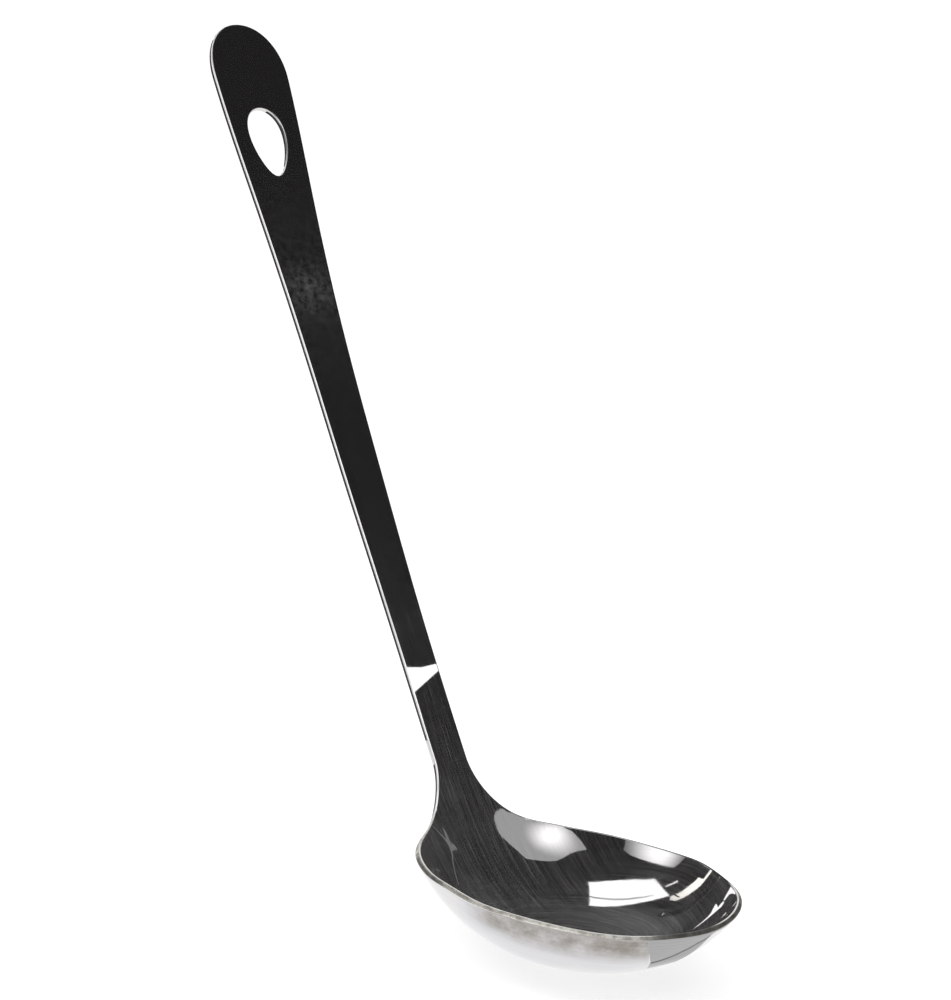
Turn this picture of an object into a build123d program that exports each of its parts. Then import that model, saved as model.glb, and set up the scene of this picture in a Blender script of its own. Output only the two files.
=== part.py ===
"""Soup ladle of polished stainless sheet: a bowl with its flared neck, and a long flat handle.

Millimetres. The origin is the centre of the hanging hole, in the middle of the sheet.
The bowl's rim is nearly level, +Z is up and +X runs from the handle towards the pouring edge.
"""

import os
from math import cos, pi, radians, sin, sqrt

from build123d import *

os.makedirs("parts", exist_ok=True)

# Sheet
sheet_thickness = 1.8

# Bowl, measured from the middle of its rim
bowl_front_reach = 43.7
bowl_half_width = 41.2
bowl_side_share = 0.753
bowl_tip_share = 0.35
bowl_depth = 19.9
round_bottom_share = 0.32
even_bottom_share = 0.02

# Neck, where the bowl's sheet meets the handle
neck_reach = 68.7
neck_rise = 12.1
neck_half_width = 5.6
neck_flat_share = 0.39

# Handle, from the neck to its rounded end
handle_length = 247.7
handle_lean = 43.66
handle_bow_radius = 3000.0
handle_end_half_width = 13.2
handle_cap_length = 19.0
cap_side_share = 0.58
cap_crown_share = 0.6
cap_flare_share = 0.5
edge_rounding = 0.3
edge_rounding_share = 0.3

# Hanging hole, an egg with its wide end towards the end of the handle
hole_half_length = 11.7
hole_half_width = 5.9
hole_egg_share = 0.27
hole_from_end = 41.7

# Shoulders in plan: shares of the neck's reach, and of the widening from neck to bowl
shoulder_shares = [(0.30, 0.885), (0.55, 0.621), (0.72, 0.334), (0.86, 0.111)]

# Sides of the handle: shares of its straight length, and of its widening
taper_shares = [(0.2, 0.02), (0.4, 0.14), (0.6, 0.28), (0.8, 0.61)]

# Fineness of the curved sheet and of the hole's outline
points_along = 61
points_across = 41
hole_points = 16
edge_margin_share = 0.05


# Places that follow from the sizes
overrun = 4 * sheet_thickness
rounding = min(edge_rounding, edge_rounding_share * sheet_thickness)
lean = radians(handle_lean)
hole_along = handle_length - hole_from_end


def handle_point(along, depth=0):
    """Place on the handle from the rim's middle, and its distance behind the front face."""
    turned = lean - along / handle_bow_radius
    radius = handle_bow_radius + depth
    x = -neck_reach + handle_bow_radius * cos(lean) - radius * cos(turned)
    z = neck_rise + handle_bow_radius * sin(lean) - radius * sin(turned)
    return Vector(x, 0, z)


rim_middle = handle_point(hole_along, sheet_thickness / 2) * -1


# Middle line of the bowl's inner face: even curves that meet the handle's slope and bow
bottom_bend = 2 * round_bottom_share * bowl_depth / bowl_front_reach**2
neck_slope = cos(lean) / sin(lean)
neck_bend = 1 / (handle_bow_radius * sin(lean) ** 3)
gap_height = neck_rise + bowl_depth - bottom_bend * neck_reach**2 / 2
gap_slope = (neck_slope - bottom_bend * neck_reach) * neck_reach
gap_bend = (neck_bend - bottom_bend) * neck_reach**2
back_cubic = 10 * gap_height - 4 * gap_slope + gap_bend / 2
back_quartic = 7 * gap_slope - 15 * gap_height - gap_bend
back_quintic = 6 * gap_height - 3 * gap_slope + gap_bend / 2


def rise_share(level):
    """Share of the depth reached at a level, which is 0 at the bottom and 1 at the rim."""
    return round_bottom_share * level + (1 - round_bottom_share) * level**2


def middle_rise(x):
    """Height of the inner face above the bottom, on the middle line."""
    if x >= 0:
        return bowl_depth * rise_share((x / bowl_front_reach) ** 2)
    share = -x / neck_reach
    curve = share**3 * (back_cubic + share * (back_quartic + share * back_quintic))
    return bottom_bend * x**2 / 2 + curve


def middle_level(x):
    """Level that gives the middle line's height, held above the bottom."""
    share = middle_rise(x) / bowl_depth
    share = (share + sqrt(share**2 + even_bottom_share**2)) / 2
    root = round_bottom_share**2 + 4 * (1 - round_bottom_share) * share
    return (sqrt(root) - round_bottom_share) / (2 * (1 - round_bottom_share))


def cupping(x):
    """How far the sheet is cupped crosswise: 0 at the neck and 1 in the bowl."""
    share = (x + neck_reach) / (neck_flat_share * neck_reach)
    share = min(max(share, 0), 1)
    return share**3 * (10 - 15 * share + 6 * share**2)


def inner_point(x, y):
    """Point of the bowl's inner face above a place in plan."""
    level = middle_level(x)
    side_level = level + cupping(x) * (y / bowl_half_width) ** 2
    side_rise = bowl_depth * (rise_share(side_level) - rise_share(level))
    return rim_middle + Vector(x, y, middle_rise(x) + side_rise - bowl_depth)


def steps(low, high, count):
    """Even places from low to high."""
    return [low + (high - low) * number / (count - 1) for number in range(count)]


# Bowl and neck: the inner face is cut along the rim, then takes the sheet's thickness
outer_share = 1 + edge_margin_share
along_places = steps(-neck_reach * outer_share, bowl_front_reach * outer_share, points_along)
across_places = steps(-bowl_half_width * outer_share, bowl_half_width * outer_share, points_across)
inner_grid = [[inner_point(x, y) for y in across_places] for x in along_places]
inner_face = Face.make_surface_from_array_of_points(inner_grid, tol=0.01, min_deg=3, max_deg=3)

widening = bowl_half_width - neck_half_width
shoulder = [(0, bowl_half_width)]
for back_share, width_share in shoulder_shares:
    shoulder.append((-back_share * neck_reach, neck_half_width + width_share * widening))
shoulder.append((-neck_reach, neck_half_width))
front_side = [
    (0, bowl_half_width),
    (bowl_side_share * bowl_front_reach, bowl_half_width),
    (bowl_front_reach, bowl_tip_share * bowl_half_width),
    (bowl_front_reach, 0),
]

rim_plane = Plane(origin=rim_middle - Vector(0, 0, bowl_depth + overrun))
with BuildPart() as rim_outline:
    with BuildSketch(rim_plane):
        with BuildLine():
            Bezier(*[(x, -y) for x, y in front_side])
            Bezier(*front_side)
            Spline(*shoulder, tangents=[(-1, 0), (-1, 0)])
            Line((-neck_reach, neck_half_width), (-neck_reach, -neck_half_width))
            Spline(*[(x, -y) for x, y in shoulder], tangents=[(-1, 0), (-1, 0)])
        make_face()
    extrude(amount=bowl_depth + neck_rise + 2 * overrun)

with BuildPart() as bowl:
    thicken(
        inner_face.intersect(rim_outline.part)[0],
        amount=sheet_thickness,
        normal_override=(0, 0, -1),
    )

# Handle: a gently bowed plate, cut to its outline, with the hanging hole
bow_plane = Plane(origin=rim_middle, x_dir=(1, 0, 0), z_dir=(0, -1, 0))
flat_plane = Plane(
    origin=rim_middle + handle_point(0),
    x_dir=(-sin(lean), 0, cos(lean)),
    z_dir=(cos(lean), 0, sin(lean)),
)


def bow_place(along, depth=0):
    """Place on the handle in its side view."""
    place = handle_point(along, depth)
    return (place.X, place.Z)


straight_length = handle_length - handle_cap_length
cut_reach = overrun + handle_length**2 / handle_bow_radius
hole_run = (handle_bow_radius + sheet_thickness / 2) * sin(hole_along / handle_bow_radius)
handle_widening = handle_end_half_width - neck_half_width
taper = [(0, neck_half_width)]
for along_share, width_share in taper_shares:
    width = neck_half_width + width_share * handle_widening
    taper.append((along_share * straight_length, width))
taper.append((straight_length, handle_end_half_width))
last_run = (1 - taper_shares[-1][0]) * straight_length
last_widening = (1 - taper_shares[-1][1]) * handle_widening
end_flare = cap_flare_share * last_widening / last_run
cap = [
    taper[-1],
    (
        straight_length + cap_side_share * handle_cap_length,
        handle_end_half_width + end_flare * cap_side_share * handle_cap_length,
    ),
    (handle_length, cap_crown_share * handle_end_half_width),
    (handle_length, 0),
]

with BuildPart() as handle:
    with BuildSketch(bow_plane):
        with BuildLine():
            half = handle_length / 2
            far = handle_length + overrun
            near = -overrun
            ThreePointArc(bow_place(near), bow_place(half), bow_place(far))
            Line(bow_place(far), bow_place(far, sheet_thickness))
            ThreePointArc(
                bow_place(far, sheet_thickness),
                bow_place(half, sheet_thickness),
                bow_place(near, sheet_thickness),
            )
            Line(bow_place(near, sheet_thickness), bow_place(near))
        make_face()
    extrude(amount=2 * handle_end_half_width, both=True)
    with BuildSketch(flat_plane):
        with BuildLine():
            Line((0, 0), (0, neck_half_width))
            Spline(*taper, tangents=[(1, 0), (1, end_flare)])
            Bezier(*cap)
            mirror(about=Plane.XZ)
        make_face()
    extrude(amount=cut_reach, both=True, mode=Mode.INTERSECT)
    with BuildSketch(flat_plane):
        with BuildLine():
            egg = []
            for number in range(hole_points):
                turn = 2 * pi * number / hole_points
                width = hole_half_width * (1 + hole_egg_share * cos(turn))
                egg.append((hole_run + hole_half_length * cos(turn), width * sin(turn)))
            Spline(*egg, periodic=True)
        make_face()
    extrude(amount=cut_reach, both=True, mode=Mode.SUBTRACT)
    fillet(handle.edges().filter_by(lambda edge: edge.length > 3 * hole_half_width), rounding)

bowl.part.label = "bowl"
export_step(bowl.part, "parts/bowl.step")
handle.part.label = "handle"
export_step(handle.part, "parts/handle.step")
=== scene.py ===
"""Looks of the soup ladle: polished stainless sheet in a plain white studio, in metres."""

from math import cos, pi, radians, sin

import bpy
import numpy as np
from mathutils import Matrix, Vector
from mathutils.geometry import delaunay_2d_cdt


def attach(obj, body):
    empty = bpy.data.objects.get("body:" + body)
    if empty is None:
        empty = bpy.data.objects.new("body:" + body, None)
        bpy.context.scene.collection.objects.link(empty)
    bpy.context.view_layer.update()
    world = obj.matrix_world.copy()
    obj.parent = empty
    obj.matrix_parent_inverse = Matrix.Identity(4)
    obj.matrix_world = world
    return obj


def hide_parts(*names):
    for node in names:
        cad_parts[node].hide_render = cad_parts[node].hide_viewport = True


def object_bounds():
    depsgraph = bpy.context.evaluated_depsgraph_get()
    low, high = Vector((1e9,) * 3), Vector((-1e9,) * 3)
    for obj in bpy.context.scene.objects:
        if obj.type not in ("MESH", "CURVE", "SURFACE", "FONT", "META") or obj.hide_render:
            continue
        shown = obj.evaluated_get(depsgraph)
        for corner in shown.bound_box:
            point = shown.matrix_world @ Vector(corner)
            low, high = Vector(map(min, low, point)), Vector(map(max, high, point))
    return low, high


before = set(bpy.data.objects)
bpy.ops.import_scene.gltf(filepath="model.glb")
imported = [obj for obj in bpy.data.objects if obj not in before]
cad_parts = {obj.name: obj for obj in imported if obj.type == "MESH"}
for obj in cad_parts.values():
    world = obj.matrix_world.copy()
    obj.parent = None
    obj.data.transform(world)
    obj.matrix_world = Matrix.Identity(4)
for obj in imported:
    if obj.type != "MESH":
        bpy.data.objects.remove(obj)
cad_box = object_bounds()

MM = 0.001
BODY = "root"
SLOT = "polished_steel"

# Sizes of the sheet, as in the part's source
THICKNESS = 1.8 * MM
BACK_DEPTH = 1.788 * MM
FRONT_REACH = 43.7 * MM
HALF_WIDTH = 41.2 * MM
SIDE_SHARE = 0.753
TIP_SHARE = 0.35
DEPTH = 19.9 * MM
ROUND_SHARE = 0.32
EVEN_SHARE = 0.02
NECK_REACH = 68.7 * MM
NECK_RISE = 12.1 * MM
NECK_HALF_WIDTH = 5.6 * MM
NECK_FLAT_SHARE = 0.39
HANDLE_LENGTH = 247.7 * MM
LEAN = radians(43.66)
BOW_RADIUS = 3.0
END_HALF_WIDTH = 13.2 * MM
CAP_LENGTH = 19.0 * MM
CAP_SIDE_SHARE = 0.58
CAP_CROWN_SHARE = 0.6
CAP_FLARE_SHARE = 0.5
HOLE_HALF_LENGTH = 11.7 * MM
HOLE_HALF_WIDTH = 5.9 * MM
HOLE_EGG_SHARE = 0.27
HOLE_ALONG = HANDLE_LENGTH - 41.7 * MM
SHOULDERS = [(0, 1), (0.30, 0.885), (0.55, 0.621), (0.72, 0.334), (0.86, 0.111), (1, 0)]
TAPER = [(0, 0), (0.2, 0.02), (0.4, 0.14), (0.6, 0.28), (0.8, 0.61), (1, 1)]

# Fineness of the mesh
OUTLINE_SPACING = 0.7 * MM
CURVE_POINTS = 900
CAP_POINTS = 400
HOLE_POINTS = 96
GRID = 1.1 * MM
GRID_CLEARANCE = 0.6 * GRID
SLOPE_STEP = 0.01 * MM
SAME_PLACE = 1e-7

# Rounded edge of the sheet, and the sideways shares of its normal that mark side and corner
ROUNDING = 0.5 * MM
CORNER_STEPS = 5
SIDE_STEPS = 3
SIDE_FROM = 0.7
CORNER_FROM = 0.5
CORNER_TO = 0.98


def mm(*lengths):
    """Millimetres as metres."""
    return tuple(length * MM for length in lengths)


# Ranges over which the looks of the steel change, in plan and up from the rim's middle
FAR_SIDE_Y = mm(3, 8)
FAR_SIDE_X = mm(12, 18)
SHOULDER_X = mm(-58, -50), mm(-42, -34)
TIP_CORNER_Y = mm(-10, -4), mm(12, 20)
TIP_CORNER_X = mm(0, 20)
TIP_EDGE_Y = mm(-14, -2)
TIP_EDGE_X = mm(20, 35)
SIDE_EDGE_X = mm(-31, -25), mm(-9, -1)
NEAR_EDGE_X = mm(-34, -28), mm(-8, 0)
CLEAN_WALL_Z = mm(-18, -8)
CLEAN_WALL_X = mm(-52, -30)
RINGED_X = mm(-38, -12)
HAZE_REACH = 22 * MM
GROUND_REACH = 25 * MM

# How much painted highlight is taken off those places, how much painted light and painted shade
# lighten and darken them, and how much haze is cleaned off
SHOULDER_HIGHLIGHT_DIMMING = 0.8
TIP_HIGHLIGHT_DIMMING = 0.85
NEAR_PAINTED_LIGHT = 0.35
TIP_PAINTED_SHADE = 0.65
SIDE_PAINTED_SHADE = 0.6
FAR_PAINTED_SHADE = 0.88
WALL_CLEANING = 0.6

# Finger marks, with a wider and weaker cloud round them
SMUDGE_PLACE = (-172.4 * MM, 0, 126.6 * MM)
SMUDGE_REACH = 7 * MM
CLOUD_WIDTH = 5
CLOUD_SHARE = 0.25

# Shares of the edge's depth: end of its inner corner, where painted shade darkens it on the
# far side, and where painted shade darkens the near side behind it
CORNER_DEPTH = 0.3
PAINTED_SHADE_FROM = (0, 0.05)
SIDE_PAINTED_SHADE_FROM = (0.3, 0.5)


def handle_point(along):
    """Front face of the handle on its middle line, from the rim's middle."""
    turned = LEAN - along / BOW_RADIUS
    x = -NECK_REACH + BOW_RADIUS * (cos(LEAN) - np.cos(turned))
    z = NECK_RISE + BOW_RADIUS * (sin(LEAN) - np.sin(turned))
    return x, z


def handle_normal(along):
    """Direction in which the handle's front face looks, in the mirror plane."""
    turned = LEAN - along / BOW_RADIUS
    return np.cos(turned), np.sin(turned)


hole_x, hole_z = handle_point(HOLE_ALONG)
hole_nx, hole_nz = handle_normal(HOLE_ALONG)
RIM = np.array([hole_nx * THICKNESS / 2 - hole_x, 0, hole_nz * THICKNESS / 2 - hole_z])

bottom_bend = 2 * ROUND_SHARE * DEPTH / FRONT_REACH**2
neck_slope = cos(LEAN) / sin(LEAN)
neck_bend = 1 / (BOW_RADIUS * sin(LEAN) ** 3)
gap_height = NECK_RISE + DEPTH - bottom_bend * NECK_REACH**2 / 2
gap_slope = (neck_slope - bottom_bend * NECK_REACH) * NECK_REACH
gap_bend = (neck_bend - bottom_bend) * NECK_REACH**2
BACK_CURVE = (
    10 * gap_height - 4 * gap_slope + gap_bend / 2,
    7 * gap_slope - 15 * gap_height - gap_bend,
    6 * gap_height - 3 * gap_slope + gap_bend / 2,
)


def rise_share(level):
    """Share of the bowl's depth reached at a level, 0 at the bottom and 1 at the rim."""
    return ROUND_SHARE * level + (1 - ROUND_SHARE) * level**2


def middle_rise(x):
    """Height of the inner face above the bottom, on the middle line."""
    share = -x / NECK_REACH
    third, fourth, fifth = BACK_CURVE
    back = bottom_bend * x**2 / 2 + share**3 * (third + share * (fourth + share * fifth))
    return np.where(x >= 0, DEPTH * rise_share((x / FRONT_REACH) ** 2), back)


def inner_height(x, y):
    """Height of the bowl's inner face above the level of its rim."""
    share = middle_rise(x) / DEPTH
    share = (share + np.sqrt(share**2 + EVEN_SHARE**2)) / 2
    root = np.sqrt(ROUND_SHARE**2 + 4 * (1 - ROUND_SHARE) * share)
    level = (root - ROUND_SHARE) / (2 * (1 - ROUND_SHARE))
    flat = np.clip((x + NECK_REACH) / (NECK_FLAT_SHARE * NECK_REACH), 0, 1)
    cupping = flat**3 * (10 - 15 * flat + 6 * flat**2)
    side_level = level + cupping * (y / HALF_WIDTH) ** 2
    return middle_rise(x) + DEPTH * (rise_share(side_level) - rise_share(level) - 1)


def bowl_surface(places):
    """Points and upward normals of the bowl's inner face above places in plan."""
    x, y = places[:, 0], places[:, 1]
    step = SLOPE_STEP
    slope_x = (inner_height(x + step, y) - inner_height(x - step, y)) / (2 * step)
    slope_y = (inner_height(x, y + step) - inner_height(x, y - step)) / (2 * step)
    normals = np.stack([-slope_x, -slope_y, np.ones_like(x)], 1)
    normals /= np.linalg.norm(normals, axis=1, keepdims=True)
    return np.stack([x, y, inner_height(x, y)], 1) + RIM, normals


def handle_surface(places):
    """Points and normals of the handle's front face at distances along and across it."""
    x, z = handle_point(places[:, 0])
    nx, nz = handle_normal(places[:, 0])
    points = np.stack([x, -places[:, 1], z], 1) + RIM
    return points, np.stack([nx, np.zeros_like(nx), nz], 1)


def smooth_curve(xs, ys, start_slope, end_slope, fine):
    """Even curve through points, with given slopes at its ends."""
    count = len(xs)
    gaps = np.diff(xs)
    rates = np.diff(ys) / gaps
    matrix = np.eye(count)
    right = np.zeros(count)
    right[0], right[-1] = start_slope, end_slope
    for i in range(1, count - 1):
        matrix[i, i - 1 : i + 2] = gaps[i], 2 * (gaps[i - 1] + gaps[i]), gaps[i - 1]
        right[i] = 3 * (rates[i - 1] * gaps[i] + rates[i] * gaps[i - 1])
    slopes = np.linalg.solve(matrix, right)
    where = np.clip(np.searchsorted(xs, fine) - 1, 0, count - 2)
    gap = gaps[where]
    t = (fine - xs[where]) / gap
    start, end = ys[where], ys[where + 1]
    a, b = slopes[where] * gap, slopes[where + 1] * gap
    return (
        start * (1 + 2 * t) * (1 - t) ** 2
        + a * t * (1 - t) ** 2
        + end * t**2 * (3 - 2 * t)
        - b * t**2 * (1 - t)
    )


def both_sides(half):
    """Whole outline from one half, with points an even distance apart."""
    whole = np.concatenate([half, (half * (1, -1))[::-1][1:]])
    steps = np.linalg.norm(np.diff(whole, axis=0), axis=1)
    lengths = np.concatenate([[0], np.cumsum(steps)])
    wanted = np.linspace(0, lengths[-1], int(round(lengths[-1] / OUTLINE_SPACING)) + 1)
    return np.stack([np.interp(wanted, lengths, whole[:, k]) for k in (0, 1)], 1)[::-1]


def bowl_outline():
    """Rim in plan, from one side of the neck round the front to the other."""
    shares = np.array(SHOULDERS)
    xs = -shares[::-1, 0] * NECK_REACH
    ys = NECK_HALF_WIDTH + shares[::-1, 1] * (HALF_WIDTH - NECK_HALF_WIDTH)
    fine = np.linspace(-NECK_REACH, 0, CURVE_POINTS)
    back = np.stack([fine, smooth_curve(xs, ys, 0, 0, fine)], 1)
    t = np.linspace(0, 1, CURVE_POINTS)[1:]
    front_x = 3 * SIDE_SHARE * (1 - t) ** 2 * t + 3 * (1 - t) * t**2 + t**3
    front_y = (1 - t) ** 3 + 3 * (1 - t) ** 2 * t + 3 * TIP_SHARE * (1 - t) * t**2
    front = np.stack([FRONT_REACH * front_x, HALF_WIDTH * front_y], 1)
    return both_sides(np.concatenate([back, front]))


def handle_outline():
    """Edge of the handle's face, from one side of the neck round the end to the other."""
    straight = HANDLE_LENGTH - CAP_LENGTH
    shares = np.array(TAPER)
    xs = shares[:, 0] * straight
    widening = END_HALF_WIDTH - NECK_HALF_WIDTH
    ys = NECK_HALF_WIDTH + shares[:, 1] * widening
    last_along, last_share = TAPER[-2]
    flare = CAP_FLARE_SHARE * (1 - last_share) * widening / ((1 - last_along) * straight)
    fine = np.linspace(0, straight, CURVE_POINTS)
    side = np.stack([fine, smooth_curve(xs, ys, 0, flare, fine)], 1)
    run = CAP_SIDE_SHARE * CAP_LENGTH
    corners = np.array([
        (straight, END_HALF_WIDTH),
        (straight + run, END_HALF_WIDTH + flare * run),
        (HANDLE_LENGTH, CAP_CROWN_SHARE * END_HALF_WIDTH),
        (HANDLE_LENGTH, 0),
    ])
    t = np.linspace(0, 1, CAP_POINTS)[1:, None]
    cap = (1 - t) ** 3 * corners[0] + 3 * (1 - t) ** 2 * t * corners[1]
    cap = cap + 3 * (1 - t) * t**2 * corners[2] + t**3 * corners[3]
    return both_sides(np.concatenate([side, cap]))


def hole_outline():
    """Edge of the hanging hole, an egg with its wide end towards the handle's end."""
    turn = np.linspace(2 * pi, 0, HOLE_POINTS + 1)[:-1]
    x = HOLE_ALONG + HOLE_HALF_LENGTH * np.cos(turn)
    y = HOLE_HALF_WIDTH * (1 + HOLE_EGG_SHARE * np.cos(turn)) * np.sin(turn)
    return np.stack([x, y], 1)


def inside(places, loop):
    """Which places lie inside a closed loop."""
    x, y = places[:, 0][:, None], places[:, 1][:, None]
    x1, y1 = loop[:, 0], loop[:, 1]
    x2, y2 = np.roll(x1, -1), np.roll(y1, -1)
    with np.errstate(divide="ignore", invalid="ignore"):
        crossing = (x2 - x1) * (y - y1) / (y2 - y1) + x1
    hits = ((y1 > y) != (y2 > y)) & (x < crossing)
    return hits.sum(1) % 2 == 1


def nearest(places, loop):
    """Distance from each place to the nearest point of a loop."""
    return np.sqrt(((places[:, None] - loop[None]) ** 2).sum(2)).min(1)


def within(places, outlines):
    """Which places lie inside the first outline and outside the others."""
    kept = inside(places, outlines[0])
    for outline in outlines[1:]:
        kept &= ~inside(places, outline)
    return kept


def grid_within(outlines):
    """Square grid of places within the outlines and clear of them."""
    low, high = outlines[0].min(0), outlines[0].max(0)
    xs = np.arange(low[0], high[0], GRID)
    ys = np.arange(0.5 * GRID, high[1], GRID)
    ys = np.concatenate([-ys[::-1], ys])
    grid = np.stack(np.meshgrid(xs, ys, indexing="ij"), 2).reshape(-1, 2)
    keep = within(grid, outlines) & (grid[:, 0] > low[0] + GRID_CLEARANCE)
    for outline in outlines:
        keep &= nearest(grid, outline) > GRID_CLEARANCE
    return grid[keep]


def triangles_within(places, outlines):
    """Triangles between places, of which the outlines come first, all turned the same way."""
    lines, start = [], 0
    for outline in outlines:
        size = len(outline)
        lines += [(start + i, start + (i + 1) % size) for i in range(size)]
        start += size
    corners = [Vector((float(x) / MM, float(y) / MM)) for x, y in places]
    found, _, triangles, origins = delaunay_2d_cdt(corners, lines, [], 0, SAME_PLACE)[:4]
    if len(found) != len(places):
        raise ValueError("an outline crosses itself")
    rows = np.array([[origins[corner][0] for corner in triangle] for triangle in triangles])
    rows = rows[within(places[rows].mean(1), outlines)]
    a, b, c = (places[rows[:, k]] for k in range(3))
    area = (b[:, 0] - a[:, 0]) * (c[:, 1] - a[:, 1]) - (b[:, 1] - a[:, 1]) * (c[:, 0] - a[:, 0])
    rows[area < 0] = rows[area < 0][:, ::-1]
    return rows


def directions(line, closed):
    """Unit directions along a line of points, without any sideways share at open ends."""
    if closed:
        along = np.roll(line, -1, 0) - np.roll(line, 1, 0)
    else:
        along = np.gradient(line, axis=0)
        along[[0, -1], 1] = 0
    return along / np.linalg.norm(along, axis=1, keepdims=True)


def edge_profile():
    """Section of the sheet's edge: outward and backward steps, with their normals."""
    corner_turns = [pi / 2 * i / CORNER_STEPS for i in range(CORNER_STEPS + 1)]
    side = BACK_DEPTH - 2 * ROUNDING
    rows = []
    for a in corner_turns:
        rows.append((ROUNDING * (sin(a) - 1), ROUNDING * (1 - cos(a)), sin(a), cos(a)))
    for i in range(1, SIDE_STEPS):
        rows.append((0, ROUNDING + side * i / SIDE_STEPS, 1, 0))
    for a in corner_turns:
        depth = BACK_DEPTH - ROUNDING + ROUNDING * sin(a)
        rows.append((ROUNDING * (cos(a) - 1), depth, cos(a), -sin(a)))
    return rows


def sheet_piece(name, surface, open_edge, closed_edges):
    """Sheet of even thickness behind a surface, with rounded edges except where it is joined.

    The joint is the mesh's last face. Each point has a mark: whether it is on the side and
    on the inner corner of the edge, and its share of the depth.
    """
    rows = []

    def add(points, normals, mark, places):
        """Numbers of new points of the mesh."""
        first = sum(len(row[0]) for row in rows)
        rows.append((points, normals, np.tile(mark, (len(points), 1)), places))
        return list(range(first, first + len(points)))

    loops, outlines = [], []
    for edge, closed in [(open_edge, False)] + [(edge, True) for edge in closed_edges]:
        base, up = surface(edge)
        out = np.cross(directions(base, closed), up)
        tangent = directions(edge, closed)
        flat_out = np.stack([tangent[:, 1], -tangent[:, 0]], 1)
        rings = []
        for outward, depth, side_share, up_share in edge_profile():
            ring = base + out * outward - up * depth
            ring_normals = out * side_share + up * up_share
            side = float(side_share > SIDE_FROM)
            corner = float(CORNER_FROM < side_share < CORNER_TO and up_share > 0)
            mark = (side, corner, depth / BACK_DEPTH)
            rings.append(add(ring, ring_normals, mark, edge + flat_out * outward))
        loops.append((rings, closed))
        outlines.append(edge - flat_out * ROUNDING)

    grid = grid_within(outlines)
    base, up = surface(grid)
    front = add(base, up, (0.0, 0.0, 0.0), grid)
    back = add(base - up * BACK_DEPTH, -up, (0.0, 0.0, 1.0), grid)

    triangles = triangles_within(np.concatenate(outlines + [grid]), outlines)
    front_ids = np.array(sum([rings[0] for rings, _ in loops], []) + front)
    back_ids = np.array(sum([rings[-1] for rings, _ in loops], []) + back)
    faces = front_ids[triangles].tolist() + back_ids[triangles][:, ::-1].tolist()
    for rings, closed in loops:
        size = len(rings[0])
        for upper, lower in zip(rings, rings[1:]):
            for i in range(size if closed else size - 1):
                j = (i + 1) % size
                faces.append((upper[i], lower[i], lower[j], upper[j]))
    rings = loops[0][0]
    faces.append([ring[-1] for ring in rings] + [ring[0] for ring in rings][::-1])

    points, normals, marks, places = (np.concatenate(part) for part in zip(*rows))
    mesh = bpy.data.meshes.new(name)
    mesh.from_pydata(points.tolist(), [], faces)
    if mesh.validate(verbose=False):
        raise ValueError(name + ": the mesh has broken faces")
    probe = mesh.polygons[0]
    if np.dot(np.array(probe.normal), normals[probe.vertices[0]]) < 0:
        raise ValueError(name + ": the faces look inward")
    return mesh, points, normals, marks, places


def ramp(values, start, end):
    """Soft step from 0 to 1 between two values."""
    share = np.clip((values - start) / (end - start), 0, 1)
    return share**2 * (3 - 2 * share)


def band(values, rise, fall):
    """Soft band that rises over one range and falls over another."""
    return ramp(values, *rise) * (1 - ramp(values, *fall))


def far_side(places):
    """The side of the rim away from the camera, where the corner is polished like the face, has no
    painted highlight, and is darkened by painted shade.
    """
    return ramp(places[:, 1], *FAR_SIDE_Y) * (1 - ramp(places[:, 0], *FAR_SIDE_X))


def corner_painted_highlight(places):
    """Where the rim's inner corner gets a painted highlight: not on the far side, nor at the tip.
    """
    x, y = places[:, 0], places[:, 1]
    shoulder = band(x, *SHOULDER_X)
    tip = band(y, *TIP_CORNER_Y) * ramp(x, *TIP_CORNER_X)
    highlight = (1 - SHOULDER_HIGHLIGHT_DIMMING * shoulder) * (1 - far_side(places))
    return highlight * (1 - TIP_HIGHLIGHT_DIMMING * tip)


def edge_painted_light_and_shade(places, depth):
    """Painted light and shade on the cut edge: lighter on the near side, painted shade at the tip
    and behind the inner corner at the side.
    """
    x, y = places[:, 0], places[:, 1]
    tip = ramp(y, *TIP_EDGE_Y) * ramp(x, *TIP_EDGE_X)
    side = band(x, *SIDE_EDGE_X) * ramp(depth, *SIDE_PAINTED_SHADE_FROM)
    near_neck, near_tip = NEAR_EDGE_X
    near = (ramp(x, *near_tip) + 1 - ramp(x, *near_neck)) * (1 - tip)
    tone = (1 + NEAR_PAINTED_LIGHT * near) * (1 - TIP_PAINTED_SHADE * tip)
    return tone * (1 - SIDE_PAINTED_SHADE * side * (y < 0))


def clean_wall(places):
    """Share of the haze that is left high up on the bowl's wall."""
    high = ramp(places[:, 2], *CLEAN_WALL_Z)
    return 1 - WALL_CLEANING * high * ramp(places[:, 0], *CLEAN_WALL_X)


def smudge(places):
    """Finger marks on the upper handle."""
    away = np.linalg.norm(places - SMUDGE_PLACE, axis=1) / SMUDGE_REACH
    return np.exp(-(away**2)) + CLOUD_SHARE * np.exp(-((away / CLOUD_WIDTH) ** 2))


def looks(places, marks):
    """Amounts that steer the steel, at places from the rim's middle."""
    side, corner, depth = marks.T
    from_neck = places[:, 0] + NECK_REACH
    far, in_corner = far_side(places), depth < CORNER_DEPTH
    return {
        "edge": side * ramp(from_neck, 0, GROUND_REACH) * (1 - far * in_corner),
        # Painted highlight: the rim's inner corner turned near-white and matt
        "corner": corner * corner_painted_highlight(places),
        # Painted light and shade along the cut edge
        "edge_painted_light_and_shade": edge_painted_light_and_shade(places, depth),
        "haze": clean_wall(places) / (1 + np.exp(-from_neck / HAZE_REACH)),
        "smudge": smudge(places),
        # Painted shade: the base colour darkened in the far side's inner corner
        "painted_shade": 1 - FAR_PAINTED_SHADE * far * ramp(depth, *PAINTED_SHADE_FROM) * in_corner,
        "ringed": ramp(places[:, 0], *RINGED_X),
    }


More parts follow.
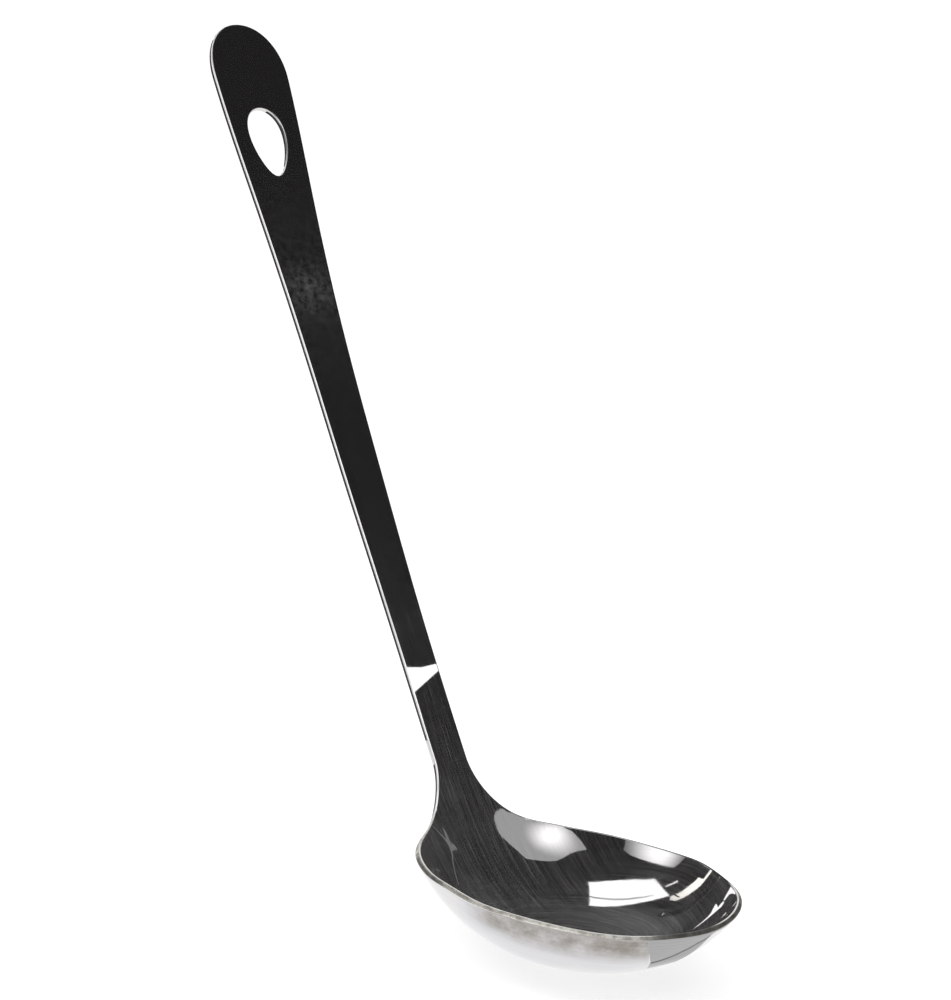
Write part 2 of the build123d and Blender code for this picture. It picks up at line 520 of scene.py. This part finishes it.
def finish_piece(name, node, surface, open_edge, closed_edges, material):
    """Steel piece with exact normals, its places along and across, and its looks."""
    mesh, points, normals, marks, places = sheet_piece(name, surface, open_edge, closed_edges)
    mesh.polygons.foreach_set("use_smooth", [True] * len(mesh.polygons))
    corners = np.zeros(len(mesh.loops), np.int32)
    mesh.loops.foreach_get("vertex_index", corners)
    corner_normals = normals[corners]
    joint = mesh.polygons[-1]
    for i in joint.loop_indices:
        corner_normals[i] = joint.normal
    uv = mesh.uv_layers.new(name="along")
    uv.data.foreach_set("uv", places[corners].astype(np.float32).ravel())
    for title, amounts in looks(points - RIM, marks).items():
        layer = mesh.attributes.new(title, "FLOAT", "POINT")
        layer.data.foreach_set("value", amounts.astype(np.float32))
    mesh.normals_split_custom_set(corner_normals.tolist())
    piece = bpy.data.objects.new(name, mesh)
    bpy.context.scene.collection.objects.link(piece)
    mesh.materials.append(material)
    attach(piece, BODY)
    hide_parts(node)


class Shading:
    """Nodes of a material or of the world, with short ways to add the usual ones."""

    def __init__(self, holder):
        holder.use_nodes = True
        self.tree = holder.node_tree
        self.tree.nodes.clear()

    def add(self, kind, inputs=(), **settings):
        """New node. Its inputs take values, or the output sockets of other nodes."""
        node = self.tree.nodes.new("ShaderNode" + kind)
        for setting, value in settings.items():
            setattr(node, setting, value)
        for key, value in dict(inputs).items():
            if isinstance(value, bpy.types.NodeSocket):
                self.tree.links.new(value, node.inputs[key])
            else:
                node.inputs[key].default_value = value
        return node

    def noise(self, place, scale, detail=3, roughness=0.6):
        """Soft noise from 0 to 1."""
        inputs = {"Vector": place, "Scale": scale, "Detail": detail, "Roughness": roughness}
        return self.add("TexNoise", inputs).outputs["Fac"]

    def fit(self, value, low, high, start=0.0, end=1.0, kind="LINEAR"):
        """Value carried from one range to another, and held within it."""
        inputs = {"From Min": low, "From Max": high, "To Min": start, "To Max": end}
        inputs["Value"] = value
        return self.add("MapRange", inputs, interpolation_type=kind).outputs["Result"]

    def maths(self, operation, first, *others):
        """Values joined one after another by the same operation."""
        for other in others:
            node = self.add("Math", {0: first, 1: other}, operation=operation)
            first = node.outputs[0]
        return first

    def blend(self, share, first, second, kind="FLOAT"):
        """Mix of two values, or of two colours with kind RGBA."""
        inputs = {"Factor": share, "A": first, "B": second}
        return self.add("Mix", inputs, data_type=kind).outputs["Result"]

    def scaled(self, colour, amount):
        """Colour times a number."""
        node = self.add("VectorMath", {0: colour, "Scale": amount}, operation="SCALE")
        return node.outputs["Vector"]

    def place(self):
        """Place in space."""
        return self.add("NewGeometry").outputs["Position"]

    def distance(self, point):
        """Distance from a point."""
        node = self.add("VectorMath", {0: self.place(), 1: point}, operation="DISTANCE")
        return node.outputs["Value"]

    def shine(self, colour, strength=1.0):
        """End in a surface that gives light of its own."""
        light = self.add("Emission", {"Color": colour, "Strength": strength})
        self.add("OutputMaterial", {"Surface": light.outputs["Emission"]})


# Steel: how far the film of grease and scratches dulls it, how far the corner's painted highlight
# turns it matt, colours, and heights of its relief
RING_SCALE = 0.03
LEAST_FILM = 0.003
CLOUD_FILM = 0.07
SMUDGE_FILM = 0.085
EDGE_FILM = 0.32
# The corner's painted highlight makes the steel there nearly matt, so that its white shows
CORNER_HIGHLIGHT_FILM = 0.85
DARK_GRAIN = (0.71, 0.7, 0.698, 1)
LIGHT_GRAIN = (0.77, 0.76, 0.758, 1)
DARK_EDGE = (0.42, 0.4, 0.36, 1)
LIGHT_EDGE = (0.74, 0.72, 0.67, 1)
# Near-white colour of the painted highlight on the rim's inner corner
PAINTED_HIGHLIGHT_WHITE = (0.95, 0.94, 0.92, 1)
GRAIN_HEIGHT = 0.0012 * MM
WAVE_HEIGHT = 0.02 * MM
SPECKLE_HEIGHT = 0.03 * MM


def steel():
    """Mirror-polished stainless steel: fine grain, faint haze, ground edges; a painted highlight
    on the rim's inner corner, and painted light and shade on its edge.
    """
    material = bpy.data.materials.new(SLOT)
    nodes = Shading(material)
    noise, fit, maths, blend = nodes.noise, nodes.fit, nodes.maths, nodes.blend

    def layer(title):
        return nodes.add("Attribute", attribute_name=title).outputs["Fac"]

    edge, corner, ringed = layer("edge"), layer("corner"), layer("ringed")
    space = nodes.add("TexCoord").outputs["Object"]
    straight = nodes.add("UVMap", uv_map="along").outputs["UV"]
    parts = nodes.add("SeparateXYZ", {0: straight}).outputs
    turn = maths("MULTIPLY", maths("ARCTAN2", parts["Y"], parts["X"]), RING_SCALE)
    radius = nodes.add("VectorMath", {0: straight}, operation="LENGTH").outputs["Value"]
    rings = nodes.add("CombineXYZ", {"X": turn, "Y": radius}).outputs["Vector"]

    def brushed(along, across):
        """Noise drawn out along the sheet, and round the middle of the bowl."""
        kinds = []
        for way in (straight, rings):
            drawn = nodes.add("Mapping", {"Vector": way, "Scale": (along, across, 1)})
            kinds.append(noise(drawn.outputs["Vector"], 1))
        return blend(ringed, *kinds)

    grain = brushed(60, 2400)
    streaks = brushed(16, 1300)
    waves = noise(space, 16, 1, 0.3)
    speckle = noise(space, 1500)
    cloud = fit(noise(space, 45, 4), 0.5, 0.75)

    scuffs = maths("MULTIPLY", fit(grain, 0.35, 0.7), fit(streaks, 0.38, 0.66, 0.15, 1.0))
    haze = maths("ADD", fit(scuffs, 0.0, 1.0, 0.025, 0.24), maths("MULTIPLY", cloud, CLOUD_FILM))
    blotches = fit(noise(space, 500), 0.35, 0.65, 0.0, SMUDGE_FILM)
    film = maths(
        "ADD",
        maths("MULTIPLY", haze, layer("haze")),
        LEAST_FILM,
        maths("MULTIPLY", layer("smudge"), blotches),
        maths("MULTIPLY", edge, EDGE_FILM),
        # The corner's painted highlight makes it nearly matt
        maths("MULTIPLY", corner, CORNER_HIGHLIGHT_FILM),
    )
    metallic = maths("SUBTRACT", 1.0, maths("MINIMUM", film, 1.0))

    face_rough = maths("ADD", fit(streaks, 0.3, 0.8, 0.02, 0.045), maths("MULTIPLY", cloud, 0.04))
    edge_rough = fit(speckle, 0.3, 0.7, 0.34, 0.5)

    face_tone = blend(fit(grain, 0.3, 0.7), DARK_GRAIN, LIGHT_GRAIN, "RGBA")
    ground_tone = blend(fit(noise(space, 420), 0.38, 0.62), DARK_EDGE, LIGHT_EDGE, "RGBA")
    # Painted light and shade scale the ground edge's tone
    ground_tone = nodes.scaled(ground_tone, layer("edge_painted_light_and_shade"))
    tone = blend(edge, face_tone, ground_tone, "RGBA")
    # Painted highlight: near-white on the rim's inner corner
    tone = blend(corner, tone, PAINTED_HIGHLIGHT_WHITE, "RGBA")

    height = maths(
        "ADD",
        maths("MULTIPLY", grain, GRAIN_HEIGHT),
        maths("MULTIPLY", waves, WAVE_HEIGHT),
        maths("MULTIPLY", speckle, SPECKLE_HEIGHT, edge),
    )
    shader = nodes.add("BsdfPrincipled", {
        # Painted shade darkens the base colour in the far side's inner corner
        "Base Color": nodes.scaled(tone, layer("painted_shade")),
        "Metallic": metallic,
        "Roughness": blend(edge, face_rough, edge_rough),
        "Normal": nodes.add("Bump", {"Distance": 1.0, "Height": height}).outputs["Normal"],
    })
    nodes.add("OutputMaterial", {"Surface": shader.outputs["BSDF"]})
    return material


steel_material = steel()
finish_piece("ladle_bowl", "bowl", bowl_surface, bowl_outline(), (), steel_material)
finish_piece(
    "ladle_handle", "handle", handle_surface, handle_outline(), (hole_outline(),), steel_material
)

# Camera, at the photograph's viewing angle
CAMERA_AZIMUTH = radians(55.3073)
CAMERA_ELEVATION = radians(12.7348)
CAMERA_ROLL = radians(7.0518)
CAMERA_DISTANCE = 1.0376614
CAMERA_AIM = Vector((-0.0721029, 0, 0.0871467)) + Vector(RIM)
SENSOR = 36
FOCAL_PIXELS = 3685.6
PHOTO_WIDTH = 951
LENS = FOCAL_PIXELS * SENSOR / PHOTO_WIDTH

back = Vector((
    sin(CAMERA_AZIMUTH) * cos(CAMERA_ELEVATION),
    -cos(CAMERA_AZIMUTH) * cos(CAMERA_ELEVATION),
    sin(CAMERA_ELEVATION),
))
level = Vector((cos(CAMERA_AZIMUTH), sin(CAMERA_AZIMUTH), 0))
upward = back.cross(level)
right = cos(CAMERA_ROLL) * level + sin(CAMERA_ROLL) * upward
upward = cos(CAMERA_ROLL) * upward - sin(CAMERA_ROLL) * level
camera_data = bpy.data.cameras.new("camera")
camera_data.sensor_fit = "HORIZONTAL"
camera_data.sensor_width = SENSOR
camera_data.lens = LENS
camera_data.clip_start = 0.01
camera = bpy.data.objects.new("camera", camera_data)
bpy.context.scene.collection.objects.link(camera)
turned = Matrix((right, upward, back)).transposed().to_4x4()
camera.matrix_world = Matrix.Translation(CAMERA_AIM + back * CAMERA_DISTANCE) @ turned
bpy.context.scene.camera = camera

# Studio: a white floor and surroundings, dark flags and soft boxes that only the metal sees
FLOOR_LEVEL = cad_box[0][2]
FLOOR_REACH = 40.0
FLOOR_WHITE = 0.9
FLOOR_LIFT = 0.43
SKY_LIGHT = 0.7
ROOM_RADIUS = 2.2
ROOM_LIFT = 0.002
ROOM_TOP_RADIUS = 0.0001
ROOM_COLOUR = (1.0, 0.96, 0.98, 1)
ROOM_TONES = [(0.0, 0.05), (0.2, 0.045), (0.42, 0.03), (0.74, 0.014), (1.0, 0.02)]
WHITE = (1, 1, 1)
bowl_middle = Vector(RIM)


def only_in_metal(thing):
    """Hide a thing from all but mirrored rays."""
    thing.visible_camera = False
    thing.visible_diffuse = False
    thing.visible_transmission = False
    thing.visible_volume_scatter = False
    thing.visible_shadow = False


def stage_mesh(name, points, faces, material):
    """Thing of the studio, made of faces between points."""
    mesh = bpy.data.meshes.new(name)
    mesh.from_pydata([tuple(p) for p in points], [], faces)
    mesh.materials.append(material)
    thing = bpy.data.objects.new(name, mesh)
    bpy.context.scene.collection.objects.link(thing)
    return thing


def lamp(name, place, size, power):
    """Square lamp turned to the bowl, which the metal doesn't mirror."""
    data = bpy.data.lights.new(name, "AREA")
    data.shape = "SQUARE"
    data.size = size
    data.energy = power
    thing = bpy.data.objects.new(name, data)
    bpy.context.scene.collection.objects.link(thing)
    thing.location = place
    thing.rotation_euler = (bowl_middle - Vector(place)).to_track_quat("-Z", "Y").to_euler()
    thing.visible_glossy = False


def white_floor():
    """White floor that keeps the ladle's shadow, and is plain white in the metal."""
    material = bpy.data.materials.new("white_floor")
    nodes = Shading(material)
    rays = nodes.add("LightPath").outputs
    lift = nodes.maths("MULTIPLY", rays["Is Camera Ray"], FLOOR_LIFT)
    lit = nodes.add("AddShader", {
        0: nodes.add("BsdfDiffuse", {"Color": (*[FLOOR_WHITE] * 3, 1)}).outputs[0],
        1: nodes.add("Emission", {"Strength": lift}).outputs[0],
    })
    plain = nodes.add("Emission")
    chosen = {0: rays["Is Glossy Ray"], 1: lit.outputs[0], 2: plain.outputs[0]}
    nodes.add("OutputMaterial", {"Surface": nodes.add("MixShader", chosen).outputs[0]})
    return material


def white_world():
    """White surroundings, dimmer as a light than they look."""
    world = bpy.data.worlds.new("studio")
    bpy.context.scene.world = world
    nodes = Shading(world)
    rays = nodes.add("LightPath").outputs
    ways = [rays[f"Is {way} Ray"] for way in ("Camera", "Glossy", "Transmission")]
    strength = nodes.fit(nodes.maths("MAXIMUM", *ways), 0.0, 1.0, SKY_LIGHT, 1.0)
    sky = nodes.add("Background", {"Color": (*WHITE, 1), "Strength": strength})
    nodes.add("OutputWorld", {"Surface": sky.outputs[0]})


def dark_felt():
    """Dark cloth of the room's walls, paler towards the floor."""
    material = bpy.data.materials.new("dark_felt")
    nodes = Shading(material)
    height = nodes.add("SeparateXYZ", {0: nodes.place()}).outputs["Z"]
    level = nodes.fit(height, FLOOR_LEVEL, FLOOR_LEVEL + ROOM_RADIUS)
    shades = nodes.add("ValToRGB", {0: level})
    shades.color_ramp.interpolation = "EASE"
    elements = shades.color_ramp.elements
    for _ in ROOM_TONES[2:]:
        elements.new(0.5)
    for element, (place, tone) in zip(elements, ROOM_TONES):
        element.position = place
        element.color = (tone, tone, tone, 1)
    nodes.shine(ROOM_COLOUR, shades.outputs["Color"])
    return material


def dark_room(sides=48, rows=12):
    """Dome of dark walls round the white table, seen only in the metal."""
    points, faces = [], []
    for k in range(rows + 1):
        lift = pi / 2 * k / rows
        height = FLOOR_LEVEL + ROOM_LIFT + ROOM_RADIUS * sin(lift)
        radius = ROOM_RADIUS * cos(lift) + ROOM_TOP_RADIUS
        for i in range(sides):
            turn = 2 * pi * i / sides
            x, y = bowl_middle.x + radius * cos(turn), bowl_middle.y + radius * sin(turn)
            points.append((x, y, height))
    for k in range(rows):
        low, high = k * sides, (k + 1) * sides
        for i in range(sides):
            j = (i + 1) % sides
            faces.append((low + i, low + j, high + j, high + i))
    only_in_metal(stage_mesh("dark_room", points, faces, dark_felt()))


def glow(name, colour, strength, hot_spot=None, dimmest=0.0, reach=1.0):
    """Light of even strength, or one that falls off round its hottest place."""
    material = bpy.data.materials.new(name)
    nodes = Shading(material)
    if hot_spot is not None:
        away = nodes.distance(hot_spot)
        strength = nodes.fit(away, 0.0, reach, strength, dimmest, "SMOOTHSTEP")
    nodes.shine((*colour, 1), strength)
    return material


def card(name, points, colour, strength, **fall):
    """Flat card that only the metal mirrors."""
    shape = [tuple(range(len(points)))]
    light = glow(name + "_light", colour, strength, **fall)
    only_in_metal(stage_mesh(name, points, shape, light))


def over(x, y, height=1.0):
    """Place over the bowl, by its shares of that height along and across."""
    return bowl_middle + height * Vector((x, y, 1))


def way_point(azimuth, elevation, distance=1.0):
    """Place at a distance from the bowl, by its direction in degrees."""
    a, e = radians(azimuth), radians(elevation)
    return bowl_middle + distance * Vector((sin(a) * cos(e), -cos(a) * cos(e), sin(e)))


def floor_point(azimuth, distance):
    """Place on the floor by its direction and distance from the foot of the neck."""
    a = radians(azimuth)
    foot = bowl_middle + Vector((-NECK_REACH, 0, 0))
    return (foot.x + distance * sin(a), foot.y - distance * cos(a), FLOOR_LEVEL + FLAG_LIFT)


def on_floor(points, lift):
    """Places just over the floor, from the point under the rim's middle."""
    return [Vector((bowl_middle.x + x, bowl_middle.y + y, FLOOR_LEVEL + lift)) for x, y in points]


def overs(points, height=1.0):
    """Outline from places over the bowl."""
    return [over(x, y, height) for x, y in points]


def ways(points, distance=1.0):
    """Outline from directions."""
    return [way_point(azimuth, elevation, distance) for azimuth, elevation in points]


# Lifts of the sheets on the floor, and places of cards that lie before or behind the others
FLAG_LIFT = 0.001
CLOTH_LIFT = 0.0012
SHADE_LIFT = 0.0013
PANEL_LIFT = 0.0014
LINE_LIFT = 0.0016
WINDOW_HEIGHT = 0.075
BAR_HEIGHT = 0.0745
GAP_DISTANCE = 0.98
GLOW_DISTANCE = 1.05

corners = ((-1, -1), (1, -1), (1, 1), (-1, 1))
floor_corners = [(FLOOR_REACH * x, FLOOR_REACH * y, FLOOR_LEVEL) for x, y in corners]
stage_mesh("floor", floor_corners, [(0, 1, 2, 3)], white_floor())
white_world()
lamp("key_light", (-0.5, -0.9, 1.0), 0.9, 5.0)
lamp("fill_light", (1.1, 0.3, 0.9), 0.9, 2.5)
dark_room()

# Soft boxes and their gaps, laid out as they show mirrored in the bowl
card("soft_box", overs([
    (0.16, 0.4), (0.14, 0.37), (0.112, 0.34), (0.094, 0.315), (0.076, 0.27),
    (0.054, 0.23), (0.03, 0.19), (-0.027, 0.166), (-0.035, 0.09), (-0.05, -0.019),
    (-0.054, -0.11), (-0.04, -0.196), (-0.023, -0.305), (-0.027, -0.402),
    (-0.05, -0.507), (0.018, -0.547), (0.065, -0.559), (0.118, -0.573),
    (0.16, -0.535), (0.5, -0.6), (0.7, -0.1), (0.3, 0.42),
]), WHITE, 3.0, hot_spot=over(0.34, -0.28), dimmest=0.42, reach=0.42)
card("window_card", overs([
    (-0.667, 0.132), (-0.674, 0.009), (-0.708, -0.102), (-0.781, -0.21),
    (-0.965, -0.34), (-1.086, -0.28), (-1.288, -0.169), (-1.132, -0.019),
    (-1.014, 0.12), (-0.959, 0.26), (-0.952, 0.386), (-0.974, 0.519), (-0.808, 0.321),
], WINDOW_HEIGHT), WHITE, 1.5)
card("side_box", ways([
    (-12, 40), (-15.2, 44.4), (-18.6, 48.6), (-23.4, 47.9), (-28.9, 45.4),
    (-36.3, 40.8), (-46.8, 34.2), (-47.4, 32.3), (-46, 24), (-28, 24),
]), WHITE, 1.6, hot_spot=way_point(-32, 36), dimmest=0.18, reach=0.3)
card("strip_light", ways([
    (-59.6, 19.5), (-61.3, 22.8), (-62.5, 24.6), (-60, 26.4), (-60.8, 27.6),
    (-62.1, 30.7), (-64.6, 34.5), (-66.7, 38.5), (-70, 39), (-70.5, 37.0),
    (-68.6, 33.5), (-66.5, 29.7), (-65.3, 26.3), (-63.5, 23.6), (-62.1, 20.9), (-61, 19),
]), (1, 0.98, 0.93), 1.5, hot_spot=way_point(-63, 27), dimmest=0.6, reach=0.4)
card("strip_gap", ways([
    (-63.8, 38.4), (-66.2, 37.2), (-68.4, 35.6), (-68.0, 34.8), (-65.8, 36.2), (-63.4, 37.4),
], GAP_DISTANCE), WHITE, 0.05)
card("strip_end", ways([
    (-58.6, 40.1), (-57.5, 34.1), (-56.5, 34.1), (-57.6, 39.8),
]), WHITE, 1.3)
card("window_bar", overs([
    (-0.820, 0.350), (-0.837, 0.279), (-0.862, 0.186), (-0.918, 0.068), (-1.074, -0.091),
    (-1.082, -0.081), (-0.938, 0.082), (-0.882, 0.196), (-0.857, 0.284), (-0.842, 0.352),
], BAR_HEIGHT), WHITE, 0.12)
card("skyline", ways([
    (-91.5, 11.2), (-92.2, 11.4), (-94, 11.1), (-96.4, 10.4), (-98, 10.8), (-99.6, 12),
    (-100.8, 13.1), (-104, 14), (-106, 5), (-98, 5.2), (-97, 5.5), (-95.4, 6.6),
    (-95.5, 7.5), (-96.7, 7.7), (-94.3, 9.3), (-92, 10.8),
]), WHITE, 1.3)
card("low_line", ways([
    (-95.9, 5.9), (-94.5, 7.1), (-92.6, 7.3), (-90.6, 7), (-88.5, 6.8), (-88.5, 3),
    (-92, 1.5), (-97, 0), (-101, 0.4), (-96.7, 3.3), (-94.7, 5.2), (-95.4, 5.8),
]), WHITE, 1.3)
card("wall_ribbon", ways([
    (-163.9, 33.7), (-160.5, 27.4), (-157.6, 24.7), (-147, 16.9),
    (-147.1, 16.6), (-157.9, 24.4), (-160.8, 27.2), (-164.3, 33.3),
]), WHITE, 0.2)
card("low_glow", ways([
    (-80, 20), (-130, 20), (-135, 50), (-110, 58), (-85, 55), (-78, 40),
], GLOW_DISTANCE), WHITE, 0.1, hot_spot=way_point(-102, 38, GLOW_DISTANCE),
    dimmest=0.03, reach=0.42)
card("key_box", ways([
    (-14, 5), (-6, 22), (6, 36), (16, 40), (44, 56), (60, 50), (40, 24), (10, 6),
]), WHITE, 1.4)

# Dark stretch of floor to the camera's left, from near the neck out to the room's wall
FLAG_REACH = 2.19
flag_near = [(-95, 0.2), (-78, 0.16), (-56, 0.13), (-34, 0.16), (-20, 0.2)]
flag_far = [(azimuth, FLAG_REACH) for azimuth in range(-20, -96, -5)]
card("floor_flag", [floor_point(*p) for p in flag_near + flag_far], WHITE, 0.05)

# Where the cloth begins: away from the point under the bowl's middle, and along
CLOTH_AWAY = (0.031, 0.042)
CLOTH_ALONG = (-0.02, 0.012)
CLOTH_GREY = (0.42, 0.39, 0.35, 1)
BESIDE_CLOTH = (0.97, 0.97, 1.0, 1)


def table_cloth():
    """Mottled warm grey cloth that shows in the near wall, white again towards the bowl."""
    material = bpy.data.materials.new("table_cloth")
    nodes = Shading(material)
    away = nodes.distance((bowl_middle.x, bowl_middle.y, FLOOR_LEVEL))
    rise = nodes.fit(away, *CLOTH_AWAY, kind="SMOOTHSTEP")
    along = nodes.add("SeparateXYZ", {0: nodes.place()}).outputs["X"]
    start, end = (bowl_middle.x + reach for reach in CLOTH_ALONG)
    side = nodes.fit(along, start, end, kind="SMOOTHSTEP")
    patches = nodes.fit(nodes.noise(nodes.place(), 70, 5, 0.65), 0.3, 0.6, 0.25, 1.0)
    share = nodes.maths("MULTIPLY", rise, side, patches)
    nodes.shine(nodes.blend(share, BESIDE_CLOTH, CLOTH_GREY, "RGBA"))
    return material


# Cloth and grey panel on the floor, which the outer wall mirrors
PANEL_GREY = (1, 1, 1.01)
cloth_edge = [
    (-0.02, -0.026), (0.024, -0.016), (0.032, 0.005), (0.13, -0.03), (0.13, -0.13), (-0.02, -0.13),
]
cloth = stage_mesh(
    "table_cloth", on_floor(cloth_edge, CLOTH_LIFT), [tuple(range(len(cloth_edge)))], table_cloth()
)
only_in_metal(cloth)
panel_front = [
    (0.0333, 0.0052), (0.034, 0.0118), (0.0345, 0.0186), (0.0335, 0.0267), (0.0298, 0.0359),
]
panel_start = [(0.13, -0.03), (0.0463, -0.001)]
panel_end = [(0.02, 0.055), (0.06, 0.1), (0.12, 0.1)]
line_back = [
    (0.0288, 0.0354), (0.0323, 0.0262), (0.0332, 0.0184), (0.0328, 0.012), (0.0322, 0.0057),
]
shade_back = [(0.018, 0.0217), (0.0235, 0.0185), (0.027, 0.012), (0.0275, 0.0065)]
card("grey_panel", on_floor(panel_start + panel_front + panel_end, PANEL_LIFT), PANEL_GREY, 0.55)
card("panel_line", on_floor(panel_front + line_back, LINE_LIFT), WHITE, 0.2)
card("panel_shade", on_floor(panel_front + shade_back, SHADE_LIFT), PANEL_GREY, 2.62,
     hot_spot=on_floor([(0, 0)], SHADE_LIFT)[0], dimmest=0.5, reach=0.036)

bpy.context.scene.view_settings.view_transform = "Standard"
